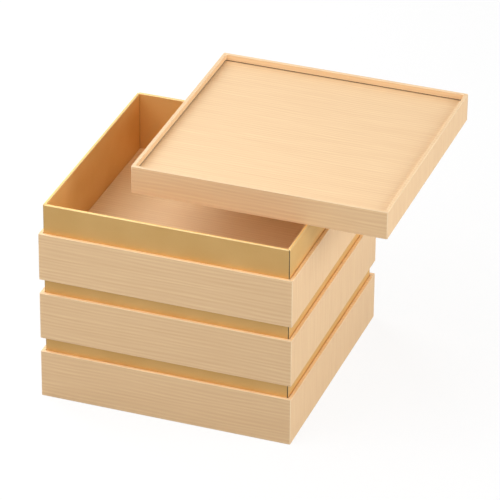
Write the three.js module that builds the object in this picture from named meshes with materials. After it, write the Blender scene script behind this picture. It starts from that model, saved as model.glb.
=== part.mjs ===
// Paper jubako: three square stacking tiers and a lid, all of board covered with paper.
// Millimetres, +Z up. The lid lies level on the top rim, set aside to the right and back.
// The origin is the middle of the whole arrangement's plan, on the plane that the box stands on.
import * as THREE from 'three';

// Driving dimensions
const BOX_WIDTH = 195; // outside of the wood-grain walls, square in plan
const TIER_COUNT = 3;
const TIER_PITCH = 49.5; // from one tier's bottom edge to the next tier's
const WALL_HEIGHT = 38; // wood-grain wall of a tier
const LINER_RISE = 23.25; // gold liner above the top edge of its wall
const LID_HEIGHT = 21.75;
const LID_RECESS = 5.5; // from the lid's top edge down to its panel
const LID_SHIFT_X = 56; // how far the lid is set aside from the box's axis
const LID_SHIFT_Y = 42;

// Stock
const PAPER = 0.25; // cover papers
const WALL_BOARD = 2; // chipboard of the walls, floors, lid frame and lid panel
const LINER_BOARD = 1.75; // chipboard of the liner
const SLIDING_GAP = 0.5; // between a liner and the wall or lid that slides over it
const MITRE_GAP = 0.3; // half of the open joint where two liner boards meet at a corner
const TURN_IN = 8; // cover paper folded over a wall's top edge and down its inside
const TURN_IN_END = 0.5; // between a turn-in's cut edge and the sheet that it stops at
const PACKING_END = 0.5; // between the packing band's edges and the turn-ins

// Places that follow from them
const HALF_WIDTH = BOX_WIDTH / 2;
const WALL_INNER = HALF_WIDTH - WALL_BOARD - 2 * PAPER;
const WALL_BOARD_INNER = WALL_INNER + PAPER;
const LINER_OUTER = WALL_INNER - SLIDING_GAP;
const LINER_INNER = LINER_OUTER - LINER_BOARD - 2 * PAPER;
const LINER_TOP = WALL_HEIGHT + LINER_RISE;
const UNDERSIDE = LINER_TOP - TIER_PITCH; // a tier's underside rests on the liner below it
const FLOOR_BOTTOM = UNDERSIDE + PAPER;
const FLOOR_TOP = FLOOR_BOTTOM + WALL_BOARD;
const LID_PANEL_TOP = LID_HEIGHT - LID_RECESS;
const LID_PANEL_BOTTOM = LID_PANEL_TOP - PAPER - WALL_BOARD;
const LID_UNDERSIDE = LID_PANEL_BOTTOM - PAPER;
const STACK_TOP = (TIER_COUNT - 1) * TIER_PITCH + LINER_TOP;

// Finishes
const woodGrainPaper = new THREE.MeshStandardMaterial({ color: 0xe9c9a0, roughness: 0.62, metalness: 0 });
const goldPaper = new THREE.MeshStandardMaterial({ color: 0xd2a75f, roughness: 0.38, metalness: 0.8 });
const chipboard = new THREE.MeshStandardMaterial({ color: 0x9c8c78, roughness: 0.9, metalness: 0 });
const liningPaper = new THREE.MeshStandardMaterial({ color: 0xefe6d6, roughness: 0.8, metalness: 0 });

// The sides of a square, anticlockwise from above: outward direction and direction of travel
const SIDES = [
  { name: 'front', out: [0, -1], along: [1, 0] },
  { name: 'right', out: [1, 0], along: [0, 1] },
  { name: 'back', out: [0, 1], along: [-1, 0] },
  { name: 'left', out: [-1, 0], along: [0, -1] },
];

// A section is a list of [distance from the axis, height], anticlockwise with the axis on its left.
// This gives the section's points at one end of a side: end -1 where the side starts, 1 where it stops.
function sectionAt(side, section, end, gap) {
  return section.map(([distance, height]) => {
    const reach = end * (distance - gap);
    return [
      side.out[0] * distance + side.along[0] * reach,
      side.out[1] * distance + side.along[1] * reach,
      height,
    ];
  });
}

// Joins two copies of a section, point by point, with faces that look outwards
function joinSections(triangles, start, stop) {
  start.forEach((point, i) => {
    const next = (i + 1) % start.length;
    triangles.push(point, stop[i], stop[next]);
    triangles.push(point, stop[next], start[next]);
  });
}

function geometryOf(triangles) {
  const geometry = new THREE.BufferGeometry();
  geometry.setAttribute('position', new THREE.Float32BufferAttribute(triangles.flat(), 3));
  geometry.computeVertexNormals();
  return geometry;
}

// A section carried round all four sides, as a strip folded into a square
function squareRing(section) {
  const triangles = [];
  for (const side of SIDES) {
    joinSections(triangles, sectionAt(side, section, -1, 0), sectionAt(side, section, 1, 0));
  }
  return geometryOf(triangles);
}

// A section carried along one side, with mitred ends that stop short of the corners
function mitredLength(section, side) {
  const start = sectionAt(side, section, -1, MITRE_GAP);
  const stop = sectionAt(side, section, 1, MITRE_GAP);
  const triangles = [];
  joinSections(triangles, start, stop);
  const flat = section.map(([distance, height]) => new THREE.Vector2(distance, height));
  for (const [a, b, c] of THREE.ShapeUtils.triangulateShape(flat, [])) {
    triangles.push(start[a], start[b], start[c]);
    triangles.push(stop[a], stop[c], stop[b]);
  }
  return geometryOf(triangles);
}

function squareSheet(half, bottom, top) {
  const geometry = new THREE.BoxGeometry(2 * half, 2 * half, top - bottom);
  geometry.translate(0, 0, (bottom + top) / 2);
  return geometry;
}

function rectangle(inner, outer, bottom, top) {
  return [[inner, bottom], [outer, bottom], [outer, top], [inner, top]];
}

// Cover paper round a standing board: up its outside, over both edges and turned in behind
function coverSection(height, lowerTurnInTop, upperTurnInBottom) {
  const behind = WALL_INNER + PAPER;
  const skin = HALF_WIDTH - PAPER;
  return [
    [WALL_INNER, 0],
    [HALF_WIDTH, 0],
    [HALF_WIDTH, height],
    [WALL_INNER, height],
    [WALL_INNER, upperTurnInBottom],
    [behind, upperTurnInBottom],
    [behind, height - PAPER],
    [skin, height - PAPER],
    [skin, PAPER],
    [behind, PAPER],
    [behind, lowerTurnInTop],
    [WALL_INNER, lowerTurnInTop],
  ];
}

// Gold paper over a liner board: up its outside, over the rim and down its inside
function liningSection() {
  const inside = LINER_INNER + PAPER;
  const outside = LINER_OUTER - PAPER;
  return [
    [LINER_INNER, FLOOR_BOTTOM],
    [inside, FLOOR_BOTTOM],
    [inside, LINER_TOP - PAPER],
    [outside, LINER_TOP - PAPER],
    [outside, FLOOR_BOTTOM],
    [LINER_OUTER, FLOOR_BOTTOM],
    [LINER_OUTER, LINER_TOP],
    [LINER_INNER, LINER_TOP],
  ];
}

function addPiece(group, name, geometry, material) {
  const mesh = new THREE.Mesh(geometry, material);
  mesh.name = name;
  group.add(mesh);
}

function wallBoardSection(height) {
  return rectangle(WALL_BOARD_INNER, HALF_WIDTH - PAPER, PAPER, height - PAPER);
}

// One tier, with its bottom edge at height 0
function makeTier(number) {
  const tier = new THREE.Group();
  const lowerTurnInTop = UNDERSIDE - TURN_IN_END;
  const upperTurnInBottom = WALL_HEIGHT - TURN_IN;
  const packing = rectangle(LINER_OUTER, WALL_BOARD_INNER, FLOOR_BOTTOM, upperTurnInBottom - PACKING_END);
  const wallCover = coverSection(WALL_HEIGHT, lowerTurnInTop, upperTurnInBottom);
  addPiece(tier, `wall_board_${number}`, squareRing(wallBoardSection(WALL_HEIGHT)), chipboard);
  addPiece(tier, `wall_paper_${number}`, squareRing(wallCover), woodGrainPaper);
  addPiece(tier, `packing_band_${number}`, squareRing(packing), chipboard);
  for (const side of SIDES) {
    const core = rectangle(LINER_INNER + PAPER, LINER_OUTER - PAPER, FLOOR_BOTTOM, LINER_TOP - PAPER);
    addPiece(tier, `liner_board_${side.name}_${number}`, mitredLength(core, side), chipboard);
    addPiece(tier, `gold_paper_${side.name}_${number}`, mitredLength(liningSection(), side), goldPaper);
  }
  addPiece(tier, `base_paper_${number}`, squareSheet(LINER_OUTER, UNDERSIDE, FLOOR_BOTTOM), liningPaper);
  addPiece(tier, `floor_board_${number}`, squareSheet(LINER_INNER, FLOOR_BOTTOM, FLOOR_TOP), chipboard);
  addPiece(tier, `floor_paper_${number}`, squareSheet(LINER_INNER, FLOOR_TOP, FLOOR_TOP + PAPER), woodGrainPaper);
  return tier;
}

// The lid, with its bottom edge at height 0: a covered frame round a sunk panel
function makeLid() {
  const lid = new THREE.Group();
  const frameCover = coverSection(LID_HEIGHT, LID_UNDERSIDE - TURN_IN_END, LID_PANEL_TOP + TURN_IN_END);
  const panelTop = LID_PANEL_TOP - PAPER;
  const panelHalf = WALL_BOARD_INNER;
  addPiece(lid, 'lid_frame_board', squareRing(wallBoardSection(LID_HEIGHT)), chipboard);
  addPiece(lid, 'lid_frame_paper', squareRing(frameCover), woodGrainPaper);
  addPiece(lid, 'lid_panel_board', squareSheet(panelHalf, LID_PANEL_BOTTOM, panelTop), chipboard);
  addPiece(lid, 'lid_panel_paper', squareSheet(panelHalf, panelTop, LID_PANEL_TOP), woodGrainPaper);
  addPiece(lid, 'lid_lining_paper', squareSheet(panelHalf, LID_UNDERSIDE, LID_PANEL_BOTTOM), liningPaper);
  return lid;
}

const jubako = new THREE.Group();
jubako.name = 'paper_jubako';
for (let level = 0; level < TIER_COUNT; level += 1) {
  const tier = makeTier(level + 1);
  tier.position.set(-LID_SHIFT_X / 2, -LID_SHIFT_Y / 2, level * TIER_PITCH);
  jubako.add(tier);
}
const lid = makeLid();
lid.position.set(LID_SHIFT_X / 2, LID_SHIFT_Y / 2, STACK_TOP);
jubako.add(lid);

export default jubako;
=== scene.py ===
# %% [markdown]
# # A paper jubako, dressed in Blender
# The object is a stack of three square food boxes with a lid, all made of chipboard that is covered with
# paper: a printed wood grain outside, a satin gold on the liners. The construction comes in as a fixed
# frame of solids, in metres. This lesson folds the papers round those boards, gives each surface its
# finish, and lights the box as a plain studio picture.

# %% Load the frame
import math

import bmesh
import bpy
from mathutils import Matrix, Vector


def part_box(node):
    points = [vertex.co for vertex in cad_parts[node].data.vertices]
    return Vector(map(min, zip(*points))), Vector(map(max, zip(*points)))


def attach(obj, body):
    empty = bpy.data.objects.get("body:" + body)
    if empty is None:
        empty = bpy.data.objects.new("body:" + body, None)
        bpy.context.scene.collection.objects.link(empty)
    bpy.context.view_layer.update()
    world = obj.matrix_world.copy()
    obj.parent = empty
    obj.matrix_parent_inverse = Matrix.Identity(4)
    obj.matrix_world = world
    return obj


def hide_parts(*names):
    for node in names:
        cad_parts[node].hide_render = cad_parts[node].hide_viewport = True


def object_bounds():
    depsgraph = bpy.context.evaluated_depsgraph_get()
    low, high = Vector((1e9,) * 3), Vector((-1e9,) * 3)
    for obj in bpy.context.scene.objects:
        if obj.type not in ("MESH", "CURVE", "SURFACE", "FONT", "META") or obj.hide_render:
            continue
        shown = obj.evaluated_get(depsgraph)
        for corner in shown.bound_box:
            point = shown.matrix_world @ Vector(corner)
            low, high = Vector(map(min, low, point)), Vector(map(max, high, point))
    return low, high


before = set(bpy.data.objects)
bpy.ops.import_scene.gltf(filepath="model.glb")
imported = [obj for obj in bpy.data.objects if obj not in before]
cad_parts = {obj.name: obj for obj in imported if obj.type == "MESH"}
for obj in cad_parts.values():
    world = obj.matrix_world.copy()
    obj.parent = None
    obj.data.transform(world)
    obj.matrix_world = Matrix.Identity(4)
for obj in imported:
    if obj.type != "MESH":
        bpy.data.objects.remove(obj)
CAD_LOW, CAD_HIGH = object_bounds()
MM = 0.001

# %% [markdown]
# ## The camera
# The picture was taken with a long lens, from a little to the right and about thirty degrees above the
# table. A long lens keeps the edges of a box nearly parallel. A camera can be dragged into place, but here
# it is set by the point that it looks at, three angles and a distance, because those are the numbers that
# one would adjust by hand.

# %% Camera
AIM = Vector((-3.5, -3.8, 86.8)) * MM
AZIMUTH = math.radians(19.585)
ELEVATION = math.radians(29.797)
ROLL = math.radians(0.524)
DISTANCE = 2764 * MM
LENS_MM = 267.1
SENSOR_MM = 36

away = Vector((
    math.sin(AZIMUTH) * math.cos(ELEVATION),
    -math.cos(AZIMUTH) * math.cos(ELEVATION),
    math.sin(ELEVATION),
))
camera = bpy.data.objects.new("camera", bpy.data.cameras.new("camera"))
camera.data.lens = LENS_MM
camera.data.sensor_width = SENSOR_MM
turn = (-away).to_track_quat("-Z", "Y").to_matrix() @ Matrix.Rotation(ROLL, 3, "Z")
camera.matrix_world = Matrix.Translation(AIM + away * DISTANCE) @ turn.to_4x4()
bpy.context.scene.collection.objects.link(camera)
bpy.context.scene.camera = camera
print("camera stands at", [round(x, 3) for x in camera.location])

# %% [markdown]
# ## Sizes from the frame
# Nothing is measured twice: every width and height below is read from the solids. A tier is described by a
# few distances from its upright axis and a few heights above its own bottom edge, and so is the lid.

# %% Sizes
TIERS = (1, 2, 3)


def foot(node):
    """The middle of a node's plan, at its lowest height."""
    low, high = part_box(node)
    return Vector(((low.x + high.x) / 2, (low.y + high.y) / 2, low.z))


def half_width(node):
    low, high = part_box(node)
    return (high.x - low.x) / 2


def heights(node, origin):
    """How far a node's bottom and top are above a point."""
    low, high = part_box(node)
    return low.z - origin.z, high.z - origin.z


TIER_FOOT = foot("wall_paper_1")
LID_FOOT = foot("lid_frame_paper")
BOX_HALF = half_width("wall_paper_1")
WALL_TOP = heights("wall_paper_1", TIER_FOOT)[1]
PAPER = heights("wall_board_1", TIER_FOOT)[0]
BOARD = heights("floor_board_1", foot("floor_board_1"))[1]
WALL_INNER = BOX_HALF - BOARD - 2 * PAPER
LINER_OUTER = half_width("base_paper_1")
LINER_INNER = half_width("floor_board_1")
LINER_BOTTOM, LINER_TOP = heights("gold_paper_front_1", TIER_FOOT)
MITRE_GAP = LINER_OUTER - half_width("gold_paper_front_1")
BASE_BOTTOM, BASE_TOP = heights("base_paper_1", TIER_FOOT)
FLOOR_BOTTOM, FLOOR_TOP = heights("floor_paper_1", TIER_FOOT)
LID_TOP = heights("lid_frame_paper", LID_FOOT)[1]
PANEL_HALF = half_width("lid_panel_paper")
PANEL_BOTTOM, PANEL_TOP = heights("lid_panel_paper", LID_FOOT)
LINING_BOTTOM, LINING_TOP = heights("lid_lining_paper", LID_FOOT)
print("box", round(2 * BOX_HALF / MM, 2), "mm wide, walls", round(WALL_TOP / MM, 2), "mm high")

# %% [markdown]
# ## One function that adds a node
# Shader trees and geometry trees are built the same way: add a node, set it up, link what feeds it. This
# helper does all three, so that each tree below reads from top to bottom like a recipe. What feeds an input
# is a plain value, a socket, or a whole node, and then the first output in use is taken. Colours are
# written as sRGB hex values, as in a paint program, and turned to the linear values that Blender works in.

# %% Node helper and colours
def socket(sockets, key):
    """A socket by its number, or the one in use among those with its name."""
    if isinstance(key, int):
        return sockets[key]
    return next(s for s in sockets if s.name == key and s.enabled)


def add(tree, kind, inputs=None, **settings):
    made = tree.nodes.new(kind)
    for name, value in settings.items():
        setattr(made, name, value)
    for key, value in (inputs or {}).items():
        if isinstance(value, bpy.types.Node):
            value = next(s for s in value.outputs if s.enabled)
        if isinstance(value, bpy.types.NodeSocket):
            tree.links.new(value, socket(made.inputs, key))
        else:
            socket(made.inputs, key).default_value = value
    return made


def linear(code):
    """An sRGB hex colour as linear red, green, blue and alpha, by the sRGB standard's formula."""
    parts = [int(code[i:i + 2], 16) / 255 for i in (1, 3, 5)]
    return tuple(c / 12.92 if c <= 0.04045 else ((c + 0.055) / 1.055) ** 2.4 for c in parts) + (1.0,)


def new_material(name):
    material = bpy.data.materials.new(name)
    material.use_nodes = True
    material.node_tree.nodes.clear()
    return material, material.node_tree


WHITE = linear("#FFFFFF")
print("sRGB middle grey is", round(linear("#808080")[0], 3), "in linear light")

# %% [markdown]
# ## Printed lines
# The cover paper is printed with a pale straight grain, like cypress. The eye sees fine, nearly even lines
# along the sheet, which fade in and out, on soft broader bands. The lines follow the sheet and not the
# room, so they are drawn on a map called "grain", which holds each point's place on the flat sheet in
# metres, along and across the grain. A Wave Texture could draw such lines, but a sine made of Math nodes
# lets their spacing be set in millimetres. A slow noise added to its phase makes the lines wander as growth
# rings do.

# %% Printed lines
GRAIN_SPACING = 2.95 * MM
WANDER_LENGTH = 90 * MM
WANDER_SPACING = 10 * MM
WANDER_TURNS = 1.3
FADE_LENGTH = 45 * MM
FADE_SPACING = 5 * MM
FAINTEST_LINE, STRONGEST_LINE = 0.1, 0.34
BAND_LENGTH = 80 * MM
BAND_SPACING = 4.5 * MM
DARKEST_BAND, LIGHTEST_BAND = 0.27, 0.73
# Most of a noise texture's values lie between these two
NOISE_LOW, NOISE_HIGH = 0.3, 0.7
# Octaves of noise: how much fine detail rides on the coarse one
SOFT, FINE, CLOUDY = 1.0, 2.0, 4.0


def streaks(tree, sheet, length, spacing, detail):
    """Noise drawn out along the sheet: one cycle per spacing across it and per length along it."""
    cycles = (1 / length, 1 / spacing, 1)
    counted = add(tree, "ShaderNodeVectorMath", {0: sheet, 1: cycles}, operation="MULTIPLY")
    return add(tree, "ShaderNodeTexNoise", {"Vector": counted, "Scale": 1.0, "Detail": detail},
               noise_dimensions="2D")


def printed_lines(tree, sheet):
    """Even lines across the sheet, which wander and fade, on broad bands: about a half on the average."""
    across = add(tree, "ShaderNodeSeparateXYZ", {0: sheet}).outputs["Y"]
    wander = streaks(tree, sheet, WANDER_LENGTH, WANDER_SPACING, SOFT)
    drift = add(tree, "ShaderNodeMath", {0: wander, 1: WANDER_TURNS * math.tau}, operation="MULTIPLY")
    phase = add(tree, "ShaderNodeMath", {0: across, 1: math.tau / GRAIN_SPACING, 2: drift},
                operation="MULTIPLY_ADD")
    wave = add(tree, "ShaderNodeMath", {0: phase}, operation="SINE")
    fade = streaks(tree, sheet, FADE_LENGTH, FADE_SPACING, SOFT)
    depth = add(tree, "ShaderNodeMapRange", {
        "Value": fade, "From Min": NOISE_LOW, "From Max": NOISE_HIGH,
        "To Min": FAINTEST_LINE, "To Max": STRONGEST_LINE,
    })
    bands = streaks(tree, sheet, BAND_LENGTH, BAND_SPACING, SOFT)
    tone = add(tree, "ShaderNodeMapRange", {"Value": bands, "To Min": DARKEST_BAND, "To Max": LIGHTEST_BAND})
    return add(tree, "ShaderNodeMath", {0: wave, 1: depth, 2: tone}, operation="MULTIPLY_ADD")


print("a printed line every", round(GRAIN_SPACING / MM, 2), "mm")

# %% [markdown]
# ## Wood-grain paper
# The print lies on an offset paper under a matt varnish. Close up, short fibres break the lines, the
# paper's tooth gives the varnish a slight unevenness, and the print is paler on a fold: partly rubbed wear,
# partly a painted highlight for the light that a fold catches.
# Folds come with an attribute called "crease", which the geometry sets. Varnish is a clear plastic, so its
# IOR is near 1.5, and matt means a roughness of about a half. The real tooth is about a tenth of a
# millimetre, too fine to show, so it is drawn several times as coarse.

# %% Wood-grain paper
PRINT_DARK = "#E9C193"
PRINT_LIGHT = "#FADAAD"
FIBRE_COLOUR = "#EDC79A"
FIBRE_LENGTH = 24 * MM
FIBRE_SPACING = 0.9 * MM
FIBRE_LOW, FIBRE_HIGH = 0.35, 0.7
FIBRE_SHARE = 0.4
# Paler print on folds: partly rubbed wear, partly a painted highlight for the light that a fold catches
FOLD_WEAR_AND_HIGHLIGHT_PRINT = "#FCE9CC"
FOLD_WEAR_AND_HIGHLIGHT_PRINT_SHARE = 0.5
VARNISH_SMOOTH, VARNISH_ROUGH = 0.42, 0.56
VARNISH_IOR = 1.48
TOOTH = 0.7 * MM
PRINT_RELIEF = 0.06 * MM
PRINT_RELIEF_STRENGTH = 0.12


def wood_grain_paper():
    material, tree = new_material("printed_wood_grain_paper")
    sheet = add(tree, "ShaderNodeUVMap", uv_map="grain")
    lines = printed_lines(tree, sheet)
    fibres = streaks(tree, sheet, FIBRE_LENGTH, FIBRE_SPACING, FINE)
    printed = add(tree, "ShaderNodeMix", {
        "Factor": lines, "A": linear(PRINT_DARK), "B": linear(PRINT_LIGHT),
    }, data_type="RGBA")
    fibre_share = add(tree, "ShaderNodeMapRange", {
        "Value": fibres, "From Min": FIBRE_LOW, "From Max": FIBRE_HIGH, "To Max": FIBRE_SHARE,
    })
    fibred = add(tree, "ShaderNodeMix", {
        "Factor": fibre_share, "A": printed, "B": linear(FIBRE_COLOUR),
    }, data_type="RGBA")
    crease = add(tree, "ShaderNodeAttribute", attribute_name="crease").outputs["Fac"]
    # The folds get the paler print: wear, and a painted highlight
    fold_wear_and_highlight = add(tree, "ShaderNodeMath", {0: crease, 1: FOLD_WEAR_AND_HIGHLIGHT_PRINT_SHARE}, operation="MULTIPLY")
    colour = add(tree, "ShaderNodeMix", {
        "Factor": fold_wear_and_highlight, "A": fibred, "B": linear(FOLD_WEAR_AND_HIGHLIGHT_PRINT),
    }, data_type="RGBA")
    roughness = add(tree, "ShaderNodeMapRange", {
        "Value": fibres, "To Min": VARNISH_SMOOTH, "To Max": VARNISH_ROUGH,
    })
    place = add(tree, "ShaderNodeTexCoord").outputs["Object"]
    tooth = add(tree, "ShaderNodeTexNoise", {"Vector": place, "Scale": 1 / TOOTH, "Detail": SOFT})
    relief = add(tree, "ShaderNodeMath", {0: tooth, 1: lines}, operation="ADD")
    bump = add(tree, "ShaderNodeBump", {
        "Height": relief, "Strength": PRINT_RELIEF_STRENGTH, "Distance": PRINT_RELIEF,
    })
    shader = add(tree, "ShaderNodeBsdfPrincipled", {
        "Base Color": colour, "Roughness": roughness, "Normal": bump, "IOR": VARNISH_IOR,
    })
    add(tree, "ShaderNodeOutputMaterial", {"Surface": shader})
    return material


WOOD_GRAIN = wood_grain_paper()
print(WOOD_GRAIN.name, "has", len(WOOD_GRAIN.node_tree.nodes), "nodes")

# %% [markdown]
# ## Gold paper
# The liners are covered with a metallised paper in a satin gold. It is metal to the eye, but a soft one:
# the paper's tooth blurs what it mirrors, and the colour deepens to orange where one gold wall mirrors
# another. That last effect could be painted, but it isn't: it comes from the light itself, once the colour
# of a single bounce is right. The foil is painted a little paler on a fold: partly rubbed foil, partly a
# painted highlight for the light that a fold catches. Its tooth too is drawn coarser than it is.

# %% Gold paper
FOIL_DARK = "#E9C17E"
FOIL_LIGHT = "#EEC887"
MOTTLE = 30 * MM
# Paler foil on folds: partly rubbed foil, partly a painted highlight for the light that a fold catches
FOLD_WEAR_AND_HIGHLIGHT_FOIL = "#DDCBA0"
FOLD_WEAR_AND_HIGHLIGHT_FOIL_SHARE = 0.6
FOIL_TOOTH = 0.6 * MM
FOIL_SMOOTH, FOIL_ROUGH = 0.58, 0.7
FOIL_RELIEF = 0.05 * MM
FOIL_RELIEF_STRENGTH = 0.08


def gold_paper():
    material, tree = new_material("satin_gold_foil_paper")
    place = add(tree, "ShaderNodeTexCoord").outputs["Object"]
    mottle = add(tree, "ShaderNodeTexNoise", {"Vector": place, "Scale": 1 / MOTTLE, "Detail": FINE})
    share = add(tree, "ShaderNodeMapRange", {"Value": mottle, "From Min": NOISE_LOW, "From Max": NOISE_HIGH})
    foil = add(tree, "ShaderNodeMix", {
        "Factor": share, "A": linear(FOIL_DARK), "B": linear(FOIL_LIGHT),
    }, data_type="RGBA")
    crease = add(tree, "ShaderNodeAttribute", attribute_name="crease").outputs["Fac"]
    # The folds get the paler foil: wear, and a painted highlight
    fold_wear_and_highlight = add(tree, "ShaderNodeMath", {0: crease, 1: FOLD_WEAR_AND_HIGHLIGHT_FOIL_SHARE}, operation="MULTIPLY")
    colour = add(tree, "ShaderNodeMix", {
        "Factor": fold_wear_and_highlight, "A": foil, "B": linear(FOLD_WEAR_AND_HIGHLIGHT_FOIL),
    }, data_type="RGBA")
    tooth = add(tree, "ShaderNodeTexNoise", {"Vector": place, "Scale": 1 / FOIL_TOOTH, "Detail": FINE})
    roughness = add(tree, "ShaderNodeMapRange", {"Value": tooth, "To Min": FOIL_SMOOTH, "To Max": FOIL_ROUGH})
    bump = add(tree, "ShaderNodeBump", {
        "Height": tooth, "Strength": FOIL_RELIEF_STRENGTH, "Distance": FOIL_RELIEF,
    })
    shader = add(tree, "ShaderNodeBsdfPrincipled", {
        "Base Color": colour, "Metallic": 1.0, "Roughness": roughness, "Normal": bump,
    })
    add(tree, "ShaderNodeOutputMaterial", {"Surface": shader})
    return material


GOLD = gold_paper()
print(GOLD.name, "has", len(GOLD.node_tree.nodes), "nodes")

# %% [markdown]
# ## Chipboard and lining paper
# Chipboard is pulped waste paper, pressed and rolled: a dull grey-brown with short fibres and dark flecks.
# It shows only in the open joints. The lining under the floors and the lid is plain uncoated paper,
# off-white, with a faint cloudy formation such as one sees when holding it to the light. Both are pulp, so
# one function makes them, with other colours and another size of cloud.

# %% Chipboard and lining paper
FLECK = 1.5 * MM
CLOUD = 9 * MM
PULP_RELIEF = 0.08 * MM
PULP_RELIEF_STRENGTH = 0.2
BOARD_DARK = "#7E674C"
BOARD_LIGHT = "#A28869"
BOARD_ROUGHNESS = 0.92
LINING_DARK = "#EEE6D7"
LINING_LIGHT = "#F5EFE3"
LINING_ROUGHNESS = 0.82


def pulp(name, dark, light, cloud_size, roughness):
    material, tree = new_material(name)
    place = add(tree, "ShaderNodeTexCoord").outputs["Object"]
    cloud = add(tree, "ShaderNodeTexNoise", {"Vector": place, "Scale": 1 / cloud_size, "Detail": CLOUDY})
    share = add(tree, "ShaderNodeMapRange", {"Value": cloud, "From Min": NOISE_LOW, "From Max": NOISE_HIGH})
    colour = add(tree, "ShaderNodeMix", {
        "Factor": share, "A": linear(dark), "B": linear(light),
    }, data_type="RGBA")
    tooth = add(tree, "ShaderNodeTexNoise", {"Vector": place, "Scale": 1 / TOOTH, "Detail": FINE})
    bump = add(tree, "ShaderNodeBump", {
        "Height": tooth, "Strength": PULP_RELIEF_STRENGTH, "Distance": PULP_RELIEF,
    })
    shader = add(tree, "ShaderNodeBsdfPrincipled", {
        "Base Color": colour, "Roughness": roughness, "Normal": bump,
    })
    add(tree, "ShaderNodeOutputMaterial", {"Surface": shader})
    return material


CHIPBOARD = pulp("grey_chipboard", BOARD_DARK, BOARD_LIGHT, FLECK, BOARD_ROUGHNESS)
LINING = pulp("uncoated_lining_paper", LINING_DARK, LINING_LIGHT, CLOUD, LINING_ROUGHNESS)
print("pulp materials:", CHIPBOARD.name, "and", LINING.name)

# %% [markdown]
# ## Folding a section round a square
# Every paper on this object follows one rule: take a section, a line drawn in the plane of an upright axis,
# and carry it round a square. Each could be extruded by hand, but one Geometry Nodes tree makes them all.
# The section comes in as a chain of edges. Its bends are rounded, and each of its points remembers its
# distance from the axis and its height. Then all points are drawn together, because the sweep is to lay
# them on the path first and move them out to their places afterwards.

# %% Section of the folding tree
FOLD_STEPS = 3


def drawn_together(tree, given):
    """The rounded section, its points noted as "section" and then brought to one point."""
    chain = add(tree, "GeometryNodeMeshToCurve", {"Mesh": given["Section"]})
    rounded = add(tree, "GeometryNodeFilletCurve", {
        "Curve": chain, "Count": FOLD_STEPS, "Radius": given["Fold Radius"], "Limit Radius": True,
    }, mode="POLY")
    place = add(tree, "GeometryNodeInputPosition")
    noted = add(tree, "GeometryNodeStoreNamedAttribute", {
        "Geometry": rounded, "Name": "section", "Value": place,
    }, data_type="FLOAT_VECTOR", domain="POINT")
    origin = add(tree, "ShaderNodeCombineXYZ")
    return add(tree, "GeometryNodeSetPosition", {"Geometry": noted, "Position": origin})


print("each bend has", FOLD_STEPS, "steps")

# %% [markdown]
# ## The path
# The path is a square with rounded corners. A liner is made of four separate lengths instead, so with "Four
# Lengths" on, the path is the front side alone, which stops short of the corners.

# %% Path of the folding tree
CORNER_STEPS = 4


def folding_path(tree, given, reach):
    """A square with rounded corners, or its front side out to the reach."""
    half = given["Half Width"]
    width = add(tree, "ShaderNodeMath", {0: half, 1: 2.0}, operation="MULTIPLY")
    square = add(tree, "GeometryNodeCurvePrimitiveQuadrilateral", {"Width": width, "Height": width},
                 mode="RECTANGLE")
    rounded = add(tree, "GeometryNodeFilletCurve", {
        "Curve": square, "Count": CORNER_STEPS, "Radius": given["Corner Radius"], "Limit Radius": True,
    }, mode="POLY")
    front = add(tree, "ShaderNodeMath", {0: half, 1: -1.0}, operation="MULTIPLY")
    left = add(tree, "ShaderNodeMath", {0: reach, 1: -1.0}, operation="MULTIPLY")
    start = add(tree, "ShaderNodeCombineXYZ", {"X": left, "Y": front})
    stop = add(tree, "ShaderNodeCombineXYZ", {"X": reach, "Y": front})
    side = add(tree, "GeometryNodeCurvePrimitiveLine", {"Start": start, "End": stop}, mode="POINTS")
    return add(tree, "GeometryNodeSwitch", {
        "Switch": given["Four Lengths"], "False": rounded, "True": side,
    }, input_type="GEOMETRY")


print("each corner has", CORNER_STEPS, "steps")

# %% [markdown]
# ## Drawing in the rings
# The sweep leaves every ring on the path. Each is now drawn in to its own distance from the axis and lifted
# to its own height. Scaling the rings, instead of offsetting them, keeps the mitres true and the corners
# equally sharp inside and out. The mitres of four lengths open towards the outside, by "Mitre Gap", and
# close at a distance of "Mitre Closes At" from the axis.

# %% Rings of the folding tree
WELD = 0.001 * MM


def folded_places(tree, given, reach):
    """Where each swept point goes: its ring at the section's own distance and height."""
    half = given["Half Width"]
    section = add(tree, "GeometryNodeInputNamedAttribute", {"Name": "section"}, data_type="FLOAT_VECTOR")
    noted = add(tree, "ShaderNodeSeparateXYZ", {0: section}).outputs
    place = add(tree, "GeometryNodeInputPosition")
    swept = add(tree, "ShaderNodeSeparateXYZ", {0: place}).outputs
    opening = add(tree, "ShaderNodeMapRange", {
        "Value": noted["X"], "From Min": given["Mitre Closes At"], "From Max": half,
        "To Max": given["Mitre Gap"],
    })
    own_reach = add(tree, "ShaderNodeMath", {0: noted["X"], 1: opening}, operation="SUBTRACT")
    x_share = add(tree, "ShaderNodeMath", {0: own_reach, 1: reach}, operation="DIVIDE")
    y_share = add(tree, "ShaderNodeMath", {0: noted["X"], 1: half}, operation="DIVIDE")
    x = add(tree, "ShaderNodeMath", {0: swept["X"], 1: x_share}, operation="MULTIPLY")
    y = add(tree, "ShaderNodeMath", {0: swept["Y"], 1: y_share}, operation="MULTIPLY")
    return add(tree, "ShaderNodeCombineXYZ", {"X": x, "Y": y, "Z": noted["Z"]})


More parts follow.
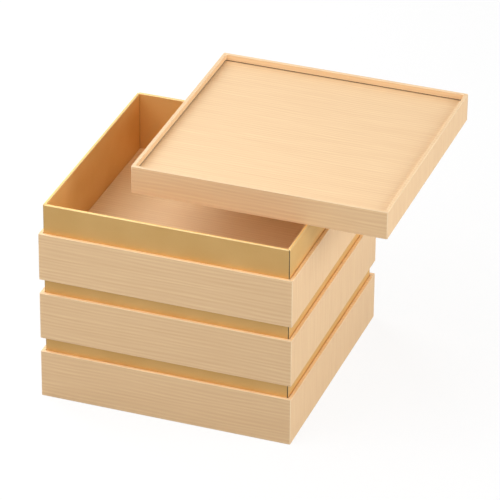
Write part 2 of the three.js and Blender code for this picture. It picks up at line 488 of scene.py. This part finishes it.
def swept_piece(tree, given):
    half = given["Half Width"]
    reach = add(tree, "ShaderNodeMath", {0: half, 1: given["Mitre Gap"]}, operation="SUBTRACT")
    swept = add(tree, "GeometryNodeCurveToMesh", {
        "Curve": folding_path(tree, given, reach), "Profile Curve": drawn_together(tree, given),
        "Fill Caps": True,
    })
    folded = add(tree, "GeometryNodeSetPosition", {
        "Geometry": swept, "Position": folded_places(tree, given, reach),
    })
    return add(tree, "GeometryNodeMergeByDistance", {"Geometry": folded, "Distance": WELD})


print("points closer than", WELD / MM, "mm are merged")

# %% [markdown]
# ## A map of the flat sheet
# Before it was folded, the paper was a flat sheet with its grain from left to right. On the front, the back
# and the level faces the grain runs along X. The flaps of the left and right sides hang down from such a
# face, so there it runs up and down. "Grain Shift" moves the map, so that each sheet shows another stretch
# of the print.

# %% Grain map of the folding tree
def place_on_sheet(tree, given):
    """Along and across the grain, in metres."""
    normal = add(tree, "GeometryNodeInputNormal")
    facing = add(tree, "GeometryNodeFieldOnDomain", {0: normal}, data_type="FLOAT_VECTOR", domain="FACE")
    size = add(tree, "ShaderNodeVectorMath", {0: facing}, operation="ABSOLUTE")
    tilt = add(tree, "ShaderNodeSeparateXYZ", {0: size}).outputs
    not_side = add(tree, "ShaderNodeMath", {0: tilt["Y"], 1: tilt["Z"]}, operation="MAXIMUM")
    is_side = add(tree, "FunctionNodeCompare", {0: tilt["X"], 1: not_side},
                  data_type="FLOAT", operation="GREATER_THAN")
    place = add(tree, "GeometryNodeInputPosition")
    where = add(tree, "ShaderNodeSeparateXYZ", {0: place}).outputs
    across = add(tree, "ShaderNodeMath", {0: where["Y"], 1: where["Z"]}, operation="ADD")
    on_front = add(tree, "ShaderNodeCombineXYZ", {"X": where["X"], "Y": across})
    on_flap = add(tree, "ShaderNodeCombineXYZ", {"X": where["Z"], "Y": where["Y"]})
    on_sheet = add(tree, "GeometryNodeSwitch", {
        "Switch": is_side, "False": on_front, "True": on_flap,
    }, input_type="VECTOR")
    shift = add(tree, "ShaderNodeCombineXYZ", {"X": given["Grain Shift"], "Y": given["Grain Shift"]})
    return add(tree, "ShaderNodeVectorMath", {0: on_sheet, 1: shift}, operation="ADD")


def mapped_piece(tree, given, piece):
    mapped = add(tree, "GeometryNodeStoreNamedAttribute", {
        "Geometry": piece, "Name": "grain", "Value": place_on_sheet(tree, given),
    }, data_type="FLOAT2", domain="CORNER")
    return add(tree, "GeometryNodeRemoveAttribute", {"Geometry": mapped, "Name": "section"})


print('the map is called "grain"')

# %% [markdown]
# ## The whole tree
# The steps above follow each other: sweep, map, and for a liner three more turned copies of the front
# length. The tree ends by making the copies real and setting the material, because an export drops
# instances.

# %% Folding tree
SIDES = 4
INPUTS = {
    "Section": "Geometry",
    "Half Width": "Float",
    "Corner Radius": "Float",
    "Fold Radius": "Float",
    "Mitre Gap": "Float",
    "Mitre Closes At": "Float",
    "Four Lengths": "Bool",
    "Grain Shift": "Float",
    "Material": "Material",
}


def turned_copies(tree, length):
    """The front length on each side of the square, turned by a quarter each time."""
    posts = add(tree, "GeometryNodePoints", {"Count": SIDES})
    number = add(tree, "GeometryNodeInputIndex")
    quarter = add(tree, "ShaderNodeMath", {0: number, 1: math.tau / SIDES}, operation="MULTIPLY")
    angle = add(tree, "ShaderNodeCombineXYZ", {"Z": quarter})
    return add(tree, "GeometryNodeInstanceOnPoints", {
        "Points": posts, "Instance": length, "Rotation": angle,
    })


def folding_tree():
    tree = bpy.data.node_groups.new("fold_round_a_square", "GeometryNodeTree")
    tree.is_modifier = True
    for name, kind in INPUTS.items():
        tree.interface.new_socket(name, in_out="INPUT", socket_type="NodeSocket" + kind)
    tree.interface.new_socket("Piece", in_out="OUTPUT", socket_type="NodeSocketGeometry")
    given = add(tree, "NodeGroupInput").outputs
    piece = mapped_piece(tree, given, swept_piece(tree, given))
    chosen = add(tree, "GeometryNodeSwitch", {
        "Switch": given["Four Lengths"], "False": piece, "True": turned_copies(tree, piece),
    }, input_type="GEOMETRY")
    real = add(tree, "GeometryNodeRealizeInstances", {"Geometry": chosen})
    dressed = add(tree, "GeometryNodeSetMaterial", {"Geometry": real, "Material": given["Material"]})
    add(tree, "NodeGroupOutput", {"Piece": dressed})
    return tree


FOLDING = folding_tree()
print("folding tree:", len(FOLDING.nodes), "nodes")

# %% [markdown]
# ## From a section to a mesh
# This step draws a section as a chain of edges and lets the tree fold it. A modifier's inputs are set by
# each socket's identifier, because two sockets may share a name. The result is turned into a plain mesh,
# with its place in its own points, and the modifiers go: what rides on a body has to be a finished mesh.

# %% Fold a section
CORNER_RADIUS = 0.8 * MM


def section_chain(name, points):
    """A chain of edges through (distance, height) points. One that starts on the axis stays open."""
    chain = bpy.data.meshes.new(name)
    links = [(i, i + 1) for i in range(len(points) - 1)]
    starts_on_axis = points[0][0] == 0
    if not starts_on_axis:
        links.append((len(points) - 1, 0))
    chain.from_pydata([(distance, 0, height) for distance, height in points], links, [])
    return chain


def set_inputs(modifier, values):
    for item in FOLDING.interface.items_tree:
        if item.in_out == "INPUT" and item.name in values:
            modifier[item.identifier] = values[item.name]


def finished_mesh(piece, place):
    """What the modifiers make of a piece, with its faces outwards, moved to its place."""
    bpy.context.view_layer.update()
    depsgraph = bpy.context.evaluated_depsgraph_get()
    mesh = bpy.data.meshes.new_from_object(piece.evaluated_get(depsgraph))
    piece.modifiers.clear()
    work = bmesh.new()
    work.from_mesh(mesh)
    bmesh.ops.recalc_face_normals(work, faces=work.faces)
    work.to_mesh(mesh)
    work.free()
    mesh.transform(Matrix.Translation(place))
    return mesh


print("corners have a radius of", CORNER_RADIUS / MM, "mm")

# %% [markdown]
# ## Folds and cut ends
# The faces of folds are shaded smooth and the flat faces stay flat, so that a narrow fold catches the light
# without bending the shading of the wall beside it. The folds are also marked as "crease" for the
# materials, which paint them paler, as wear and as a painted highlight. A cut end, which faces halfway
# between two sides, shows the raw board instead. All of this can be told from the way that a face points.

# %% Folds and cut ends
FLAT_FACE = 0.97
CUT_END = 0.985
HALFWAY = Vector((1, 1, 0)).normalized()


def mark_folds(mesh, has_cut_ends):
    crease = mesh.attributes.new("crease", "FLOAT", "FACE")
    for face in mesh.polygons:
        tilt = Vector([abs(n) for n in face.normal])
        is_cut_end = has_cut_ends and tilt.dot(HALFWAY) > CUT_END
        is_fold = max(tilt) < FLAT_FACE and not is_cut_end
        face.material_index = int(is_cut_end)
        face.use_smooth = is_fold
        crease.data[face.index].value = float(is_fold)


print("a fold leans more than", round(math.degrees(math.acos(FLAT_FACE))), "degrees from every axis")

# %% [markdown]
# ## From a section to a piece
# One function now makes a whole piece, and a second one says which body it rides on and hides the solids
# that it stands for. With one function for all papers, a change to the folds is made in one
# place.

# %% Piece maker
FOLD_RADIUS = 0.3 * MM
# Metres along the print from one sheet to the next
GRAIN_SHIFT = 0.37


def folded_piece(name, points, place, material, sheet=0, fold=FOLD_RADIUS, gap=0.0, bevel=0.0):
    """A section folded round a square. The sheet's number picks its stretch of the print."""
    distances = [distance for distance, height in points]
    chain = section_chain(name, points)
    piece = bpy.data.objects.new(name, chain)
    bpy.context.scene.collection.objects.link(piece)
    folding = piece.modifiers.new("folding", "NODES")
    folding.node_group = FOLDING
    set_inputs(folding, {
        "Half Width": max(distances),
        "Corner Radius": CORNER_RADIUS,
        "Fold Radius": fold,
        "Mitre Gap": gap,
        "Mitre Closes At": min(distances),
        "Four Lengths": gap > 0,
        "Grain Shift": sheet * GRAIN_SHIFT,
        "Material": material,
    })
    if bevel:
        softening = piece.modifiers.new("softening", "BEVEL")
        softening.width = bevel
        softening.segments = FOLD_STEPS
        softening.limit_method = "ANGLE"
    mesh = finished_mesh(piece, place)
    mesh.materials.clear()
    mesh.materials.append(material)
    if gap:
        mesh.materials.append(CHIPBOARD)
    mark_folds(mesh, gap > 0)
    piece.data = mesh
    bpy.data.meshes.remove(chain)
    mesh.name = name
    print(name, len(mesh.polygons), "faces,", [m.name for m in mesh.materials])
    return piece


def dress(piece, body, slot, *nodes):
    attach(piece, body)
    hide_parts(*nodes)


print("folds have a radius of", FOLD_RADIUS / MM, "mm")

# %% [markdown]
# ## Wall covers and the lid's frame
# The printed paper goes up the outside of the board, over the top and bottom edges, and is glued down
# behind. Seen in section it is a letter C with two turned-in ends. The same outline serves the tiers and
# the lid, with other heights, so the outline is a function of them. On a tier the upper turn-in swells over
# the glue, which narrows the dark gap between the wall and the liner. On the lid it stops a little above
# the panel.

# %% Wall covers
TURN_IN = 8 * MM
TURN_IN_END = 0.5 * MM
SWELLING_GAP = 0.3 * MM
PANEL_SLOT = 0.95 * MM
LID_SHEET = 4


def cover_outline(height, lower_turn_in_top, upper_turn_in_bottom, upper_inner):
    behind = WALL_INNER + PAPER
    skin = BOX_HALF - PAPER
    return [
        (WALL_INNER, 0), (BOX_HALF, 0), (BOX_HALF, height), (upper_inner, height),
        (upper_inner, upper_turn_in_bottom), (behind, upper_turn_in_bottom), (behind, height - PAPER),
        (skin, height - PAPER), (skin, PAPER), (behind, PAPER),
        (behind, lower_turn_in_top), (WALL_INNER, lower_turn_in_top),
    ]


tier_outline = cover_outline(
    WALL_TOP, BASE_BOTTOM - TURN_IN_END, WALL_TOP - TURN_IN, LINER_OUTER + SWELLING_GAP)
for tier in TIERS:
    place = foot(f"wall_paper_{tier}")
    cover = folded_piece(f"wall_cover_{tier}", tier_outline, place, WOOD_GRAIN, sheet=tier)
    dress(cover, f"tier_{tier}", "wood_grain_paper", f"wall_paper_{tier}")

lid_outline = cover_outline(LID_TOP, LINING_BOTTOM - TURN_IN_END, PANEL_TOP + PANEL_SLOT, WALL_INNER)
lid_cover = folded_piece("lid_cover", lid_outline, LID_FOOT, WOOD_GRAIN, sheet=LID_SHEET)
dress(lid_cover, "lid", "wood_grain_paper", "lid_frame_paper")

# %% [markdown]
# ## Gold liners
# Each liner is four boards wrapped in gold paper and set up edge to edge. Their ends are mitred and never
# quite meet on the outside, which draws a dark line down each corner. One section and the "Four Lengths"
# input give all four bars, and a bevel rounds their edges. A liner is set in by hand, so it stands a hair
# to the front and left, and a dark line shows beside its right foot.

# %% Gold liners
LINER_EDGE = 0.5 * MM
OPEN_CORNER = 0.3 * MM
SETTLED = Vector((-0.15, -0.15, 0)) * MM
SIDE_NAMES = ("front", "right", "back", "left")

liner_outline = [
    (LINER_INNER, LINER_BOTTOM), (LINER_OUTER, LINER_BOTTOM),
    (LINER_OUTER, LINER_TOP), (LINER_INNER, LINER_TOP),
]
for tier in TIERS:
    place = foot(f"wall_paper_{tier}") + SETTLED
    liner = folded_piece(f"gold_liner_{tier}", liner_outline, place, GOLD,
                         fold=0.0, gap=MITRE_GAP + OPEN_CORNER, bevel=LINER_EDGE)
    papers = [f"gold_paper_{side}_{tier}" for side in SIDE_NAMES]
    boards = [f"liner_board_{side}_{tier}" for side in SIDE_NAMES]
    dress(liner, f"tier_{tier}", "gold_paper", *papers, *boards)

# %% [markdown]
# ## Flat sheets
# The floors, the undersides and the lid's panel are flat sheets glued to boards. A thin box would do for
# their shape, but its edge would look cut like a tile's. A sheet's section runs from the axis out to its
# edge and back underneath, so the same tree makes them, with an edge that is rolled a little.

# %% Flat sheets
SHEET_EDGE = 0.12 * MM
FLOOR_SHEETS = 5
PANEL_SHEET = 9


def sheet_outline(half, bottom, top):
    return [(0, top), (half, top), (half, bottom), (0, bottom)]


floor_outline = sheet_outline(LINER_INNER, FLOOR_BOTTOM, FLOOR_TOP)
base_outline = sheet_outline(LINER_OUTER, BASE_BOTTOM, BASE_TOP)
for tier in TIERS:
    place = foot(f"wall_paper_{tier}")
    floor_sheet = folded_piece(f"floor_sheet_{tier}", floor_outline, place, WOOD_GRAIN,
                               sheet=FLOOR_SHEETS + tier, fold=SHEET_EDGE)
    dress(floor_sheet, f"tier_{tier}", "wood_grain_paper", f"floor_paper_{tier}")
    base_sheet = folded_piece(f"base_sheet_{tier}", base_outline, place, LINING, fold=SHEET_EDGE)
    dress(base_sheet, f"tier_{tier}", "lining_paper", f"base_paper_{tier}")

panel_outline = sheet_outline(PANEL_HALF, PANEL_BOTTOM, PANEL_TOP)
panel = folded_piece("lid_panel", panel_outline, LID_FOOT, WOOD_GRAIN, sheet=PANEL_SHEET, fold=SHEET_EDGE)
dress(panel, "lid", "wood_grain_paper", "lid_panel_paper")
lining_outline = sheet_outline(PANEL_HALF, LINING_BOTTOM, LINING_TOP)
lining = folded_piece("lid_lining", lining_outline, LID_FOOT, LINING, fold=SHEET_EDGE)
dress(lining, "lid", "lining_paper", "lid_lining_paper")

# %% [markdown]
# ## Boards that stay as they are
# The chipboard parts keep their own solids, because a board is a plain slab. They only need their finish.

# %% Boards
slabs = [node for name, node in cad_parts.items() if "board" in name or "packing" in name]
for slab in slabs:
    slab.data.materials.clear()
    slab.data.materials.append(CHIPBOARD)
print(len(slabs), "slabs in", CHIPBOARD.name)

# %% [markdown]
# ## White in the picture and in reflections
# The picture has a pure white ground. More light would bleach the object, so the floor and the world show
# white of themselves, to the camera and in reflections, while the light that falls on the object stays at a
# plain level. A studio is dim behind the camera, and metal shows that: in reflections the white fades
# towards the camera's side, which gives the gold its depth.

# %% White
FRONT_LEVEL = 0.38


def seen_directly(tree):
    """One for rays that the viewer sees straight, in a reflection or through glass."""
    rays = add(tree, "ShaderNodeLightPath").outputs
    seen = add(tree, "ShaderNodeMath", {0: rays["Is Camera Ray"], 1: rays["Is Glossy Ray"]},
               operation="MAXIMUM")
    return add(tree, "ShaderNodeMath", {0: seen, 1: rays["Is Transmission Ray"]}, operation="MAXIMUM")


def studio_white(tree, place, reach, back_level):
    """White to the camera. In reflections it goes from the front level to the back level, over the reach."""
    depth = add(tree, "ShaderNodeSeparateXYZ", {0: place}).outputs["Y"]
    mirrored = add(tree, "ShaderNodeMapRange", {
        "Value": depth, "From Min": -reach, "From Max": reach, "To Min": FRONT_LEVEL, "To Max": back_level,
    })
    rays = add(tree, "ShaderNodeLightPath").outputs
    return add(tree, "ShaderNodeMix", {"Factor": rays["Is Glossy Ray"], "A": 1.0, "B": mirrored})


print("reflections fade to", FRONT_LEVEL, "of white at the front")

# %% [markdown]
# ## Floor
# A photographer lays a wide sheet of white paper. Most of the floor's white is its own glow, and a part of
# it is reflected light, so that a soft shadow remains under the box. Towards the object the floor is a
# plain pale grey, which throws back only as much light as paper would.

# %% Floor
FLOOR_SIZE = 8
FLOOR_DROP = 0.05 * MM
FLOOR_BOUNCE = "#C4C0BA"
SHADOW_SHARE = 0.15
SWEEP_REACH = 0.5
FLOOR_BACK_LEVEL = 0.62


def white_floor():
    material, tree = new_material("white_floor")
    bounce = add(tree, "ShaderNodeBsdfDiffuse", {"Color": linear(FLOOR_BOUNCE)})
    lit = add(tree, "ShaderNodeBsdfDiffuse", {"Color": WHITE})
    place = add(tree, "ShaderNodeTexCoord").outputs["Object"]
    strength = studio_white(tree, place, SWEEP_REACH, FLOOR_BACK_LEVEL)
    glow = add(tree, "ShaderNodeEmission", {"Color": WHITE, "Strength": strength})
    shown = add(tree, "ShaderNodeMixShader", {0: SHADOW_SHARE, 1: glow, 2: lit})
    surface = add(tree, "ShaderNodeMixShader", {0: seen_directly(tree), 1: bounce, 2: shown})
    add(tree, "ShaderNodeOutputMaterial", {"Surface": surface})
    return material


edge = FLOOR_SIZE / 2
floor_corners = [(-edge, -edge, 0), (edge, -edge, 0), (edge, edge, 0), (-edge, edge, 0)]
floor_mesh = bpy.data.meshes.new("studio_floor")
floor_mesh.from_pydata(floor_corners, [], [(0, 1, 2, 3)])
floor_mesh.materials.append(white_floor())
floor = bpy.data.objects.new("studio_floor", floor_mesh)
floor.location.z = CAD_LOW.z - FLOOR_DROP
bpy.context.scene.collection.objects.link(floor)
print("floor", FLOOR_SIZE, "m wide")

# %% [markdown]
# ## World
# The world is the rest of the studio. It shows white in the same way as the floor does, and lights the
# object with a low, even level, which keeps the shadows open.

# %% World
WORLD_LEVEL = 0.16
SKY_REACH = 1.0
SKY_BACK_LEVEL = 0.85

world = bpy.data.worlds.new("studio_world")
bpy.context.scene.world = world
world.use_nodes = True
sky_tree = world.node_tree
sky_tree.nodes.clear()
outwards = add(sky_tree, "ShaderNodeTexCoord").outputs["Generated"]
sky_white = studio_white(sky_tree, outwards, SKY_REACH, SKY_BACK_LEVEL)
sky_level = add(sky_tree, "ShaderNodeMapRange", {
    "Value": seen_directly(sky_tree), "To Min": WORLD_LEVEL, "To Max": sky_white,
})
sky = add(sky_tree, "ShaderNodeBackground", {"Color": WHITE, "Strength": sky_level})
add(sky_tree, "ShaderNodeOutputWorld", {"Surface": sky})
print("world lights the object at", WORLD_LEVEL)

# %% [markdown]
# ## Lamps
# Soft boxes are square area lamps. The strongest stand low to the right and behind on the left: they light
# the sides and leave the top of the lid below white. A weak one above and two weak ones in front fill the
# inside of the top tier and the front walls. Each is set by its direction from the object, because that is
# what one changes when a wall looks too dark.

# %% Lamps
LAMP_DISTANCE = 1.3
LAMP_SIZE = 0.9
NEAR_LAMP_DISTANCE = 0.75
NEAR_LAMP_SIZE = 0.6


def soft_box(name, direction, watts, distance=LAMP_DISTANCE, size=LAMP_SIZE):
    lamp = bpy.data.lights.new(name, "AREA")
    lamp.shape = "SQUARE"
    lamp.size = size
    lamp.energy = watts
    stand = bpy.data.objects.new(name, lamp)
    towards = Vector(direction).normalized()
    stand.location = AIM + towards * distance
    stand.rotation_euler = towards.to_track_quat("Z", "Y").to_euler()
    bpy.context.scene.collection.objects.link(stand)
    print(name, watts, "W from", [round(x, 2) for x in stand.location])


soft_box("right_light", direction=(0.92, -0.1, 0.38), watts=11.8)
soft_box("front_light", direction=(-0.1, -0.75, 0.65), watts=1.7,
         distance=NEAR_LAMP_DISTANCE, size=NEAR_LAMP_SIZE)
soft_box("fill_light", direction=(-0.55, -0.55, 0.63), watts=3.4)
soft_box("top_light", direction=(-0.45, -0.1, 0.88), watts=4.8)
soft_box("left_light", direction=(-0.75, 0.5, 0.42), watts=11.5)
bpy.context.scene.view_settings.view_transform = "Standard"
